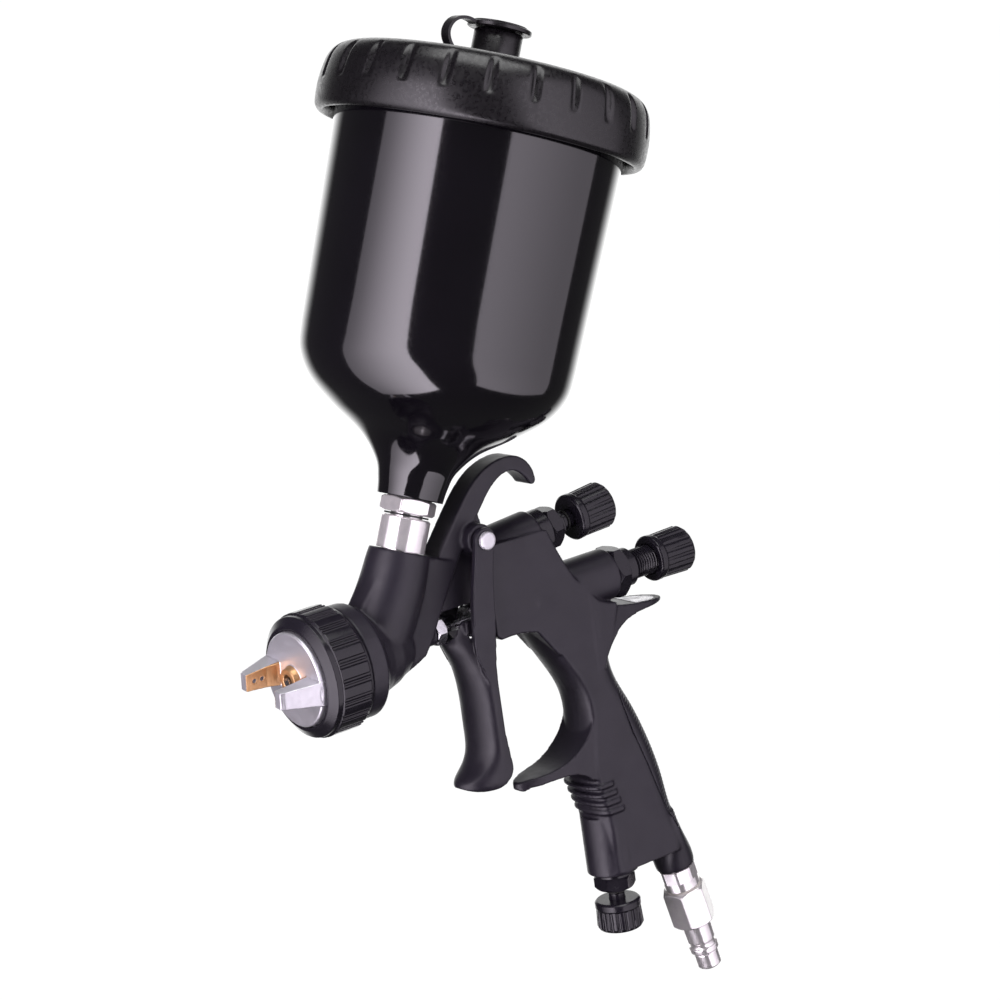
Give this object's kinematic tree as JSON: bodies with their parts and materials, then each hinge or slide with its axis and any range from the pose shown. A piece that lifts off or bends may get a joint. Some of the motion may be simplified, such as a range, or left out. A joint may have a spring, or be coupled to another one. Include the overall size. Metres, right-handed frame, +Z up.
{
  "type": "gravity feed spray gun",
  "caption": "Gravity-feed air spray gun with a tilted paint cup and screw lid, a trigger, an air cap with horns, control knobs, a hanging hook and an air inlet plug.",
  "frame": {"origin": "middle of the air inlet plug's nose, on its axis", "axes": "+Z up as the gun is held, -X the way the spray leaves, Y the width, with the gun's right side at +Y"},
  "size_m": [0.1831, 0.1136, 0.3594],
  "materials": {
    "casting": "black satin coating on a die casting",
    "grip": "satin black",
    "plate": "satin silver",
    "nickel": "nickel plated",
    "brass": "machined",
    "steel": "machined",
    "black_metal": "black satin anodised",
    "seal": "matte",
    "washer": "translucent white",
    "chrome": "polished",
    "cup": "deep gloss black",
    "lid": "semi-gloss black",
    "strap": "semi-gloss black"
  },
  "bodies": {
    "gun": {"gun_body": "casting", "back_grip": "grip", "tail_plate": "plate", "fluid_nozzle": "nickel", "air_baffle": "brass", "needle_packing": "seal", "packing_nut": "steel", "air_valve_guide": "brass", "fluid_guide": "black_metal", "fan_sleeve": "black_metal", "air_sleeve": "steel", "inlet_adapter": "chrome", "inlet_washer": "washer", "inlet_plug": "chrome", "trigger_pivot_pin": "steel", "trigger_pivot_screw": "steel", "cup_collar": "chrome", "air_valve_spring": "steel", "needle_spring": "steel"},
    "trigger": {"trigger": "casting"},
    "valve_stem": {"air_valve_stem": "steel"},
    "needle": {"needle": "steel", "needle_collar": "brass"},
    "fluid_carrier": {"fluid_knob_ring": "seal"},
    "fluid_knob": {"fluid_knob": "black_metal"},
    "fan_carrier": {"fan_seal": "seal"},
    "fan_control": {"fan_spindle": "black_metal", "fan_knob": "black_metal"},
    "air_carrier": {"air_seal": "seal"},
    "air_control": {"air_spindle": "black_metal", "air_knob": "black_metal"},
    "cap_carrier": {"cap_retaining_clip": "steel"},
    "cap_ring": {"air_cap_ring": "black_metal"},
    "air_cap": {"air_cap": "nickel"},
    "cup_carrier": {"cup_seal": "seal"},
    "cup": {"cup_nut": "chrome", "paint_cup": "cup"},
    "lid_carrier": {"lid_gasket": "washer"},
    "lid": {"cup_lid": "lid", "vent_strap": "strap"},
    "vent_cap": {"vent_cap": "lid"}
  },
  "joints": [
    {"name": "trigger_pull", "type": "hinge", "parent": "gun", "child": "trigger", "pos_m": [-0.07974, 0, 0.18152], "axis": [0, -1, 0], "range_deg": [0, 13], "stiffness_Nm_per_rad": 2, "springref_deg": -11.46},
    {"name": "valve_travel", "type": "slide", "parent": "gun", "child": "valve_stem", "axis": [1, 0, 0], "range_m": [0, 0.0069], "deforming": ["air_valve_spring"]},
    {"name": "needle_travel", "type": "slide", "parent": "gun", "child": "needle", "axis": [1, 0, 0], "range_m": [0, 0.005], "deforming": ["needle_spring"]},
    {"name": "fluid_knob_advance", "type": "slide", "parent": "gun", "child": "fluid_carrier", "axis": [1, 0, 0], "range_m": [-0.0055, 0.0011]},
    {"name": "fluid_knob_turn", "type": "hinge", "parent": "fluid_carrier", "child": "fluid_knob", "pos_m": [0.00426, 0, 0.15252], "axis": [1, 0, 0], "range_deg": [-1805, 365]},
    {"name": "fan_knob_advance", "type": "slide", "parent": "gun", "child": "fan_carrier", "axis": [0.9969, 0, 0.0785], "range_m": [0, 0.0025]},
    {"name": "fan_knob_turn", "type": "hinge", "parent": "fan_carrier", "child": "fan_control", "pos_m": [-0.05674, 0, 0.17452], "axis": [0.9969, 0, 0.0785], "range_deg": [-5, 905]},
    {"name": "air_knob_advance", "type": "slide", "parent": "gun", "child": "air_carrier", "axis": [0, 0, -1], "range_m": [0, 0.0025]},
    {"name": "air_knob_turn", "type": "hinge", "parent": "air_carrier", "child": "air_control", "pos_m": [-0.03705, 0, 0.03452], "axis": [0, 0, -1], "range_deg": [-5, 905]},
    {"name": "ring_advance", "type": "slide", "parent": "gun", "child": "cap_carrier", "axis": [-1, 0, 0], "range_m": [0, 0.0045]},
    {"name": "ring_turn", "type": "hinge", "parent": "cap_carrier", "child": "cap_ring", "pos_m": [-0.14575, 0, 0.15252], "axis": [-1, 0, 0], "range_deg": [-5, 1085]},
    {"name": "air_cap_turn", "type": "hinge", "parent": "cap_carrier", "child": "air_cap", "pos_m": [-0.15574, 0, 0.15252], "axis": [-1, 0, 0], "range_deg": [-90, 90]},
    {"name": "cup_rise", "type": "slide", "parent": "gun", "child": "cup_carrier", "axis": [0.4003, 0, 0.9164], "range_m": [0, 0.0038]},
    {"name": "cup_turn", "type": "hinge", "parent": "cup_carrier", "child": "cup", "pos_m": [-0.10425, 0, 0.19082], "axis": [0.4003, 0, 0.9164], "range_deg": [0, 1080]},
    {"name": "lid_lift", "type": "slide", "parent": "cup", "child": "lid_carrier", "axis": [0.4003, 0, 0.9164], "range_m": [0, 0.0061]},
    {"name": "lid_turn", "type": "hinge", "parent": "lid_carrier", "child": "lid", "pos_m": [-0.10425, 0, 0.19082], "axis": [0.4003, 0, 0.9164], "range_deg": [0, 540]},
    {"name": "vent_cap_pull", "type": "slide", "parent": "lid", "child": "vent_cap", "axis": [0.4003, 0, 0.9164], "range_m": [0, 0.008], "deforming": ["vent_strap"]}
  ],
  "couplings": [
    {"joint": "valve_travel", "follows": "trigger_pull", "m_per_rad": 0.0296},
    {"joint": "needle_travel", "follows": "trigger_pull", "m_per_rad": 0.0215},
    {"joint": "fluid_knob_turn", "follows": "fluid_knob_advance", "rad_per_m": 5712},
    {"joint": "fan_knob_turn", "follows": "fan_knob_advance", "rad_per_m": 6283.2},
    {"joint": "air_knob_turn", "follows": "air_knob_advance", "rad_per_m": 6283.2},
    {"joint": "ring_turn", "follows": "ring_advance", "rad_per_m": 4188.8},
    {"joint": "cup_rise", "follows": "cup_turn", "m_per_rad": 0.00019894},
    {"joint": "lid_lift", "follows": "lid_turn", "m_per_rad": 0.00063662}
  ]
}
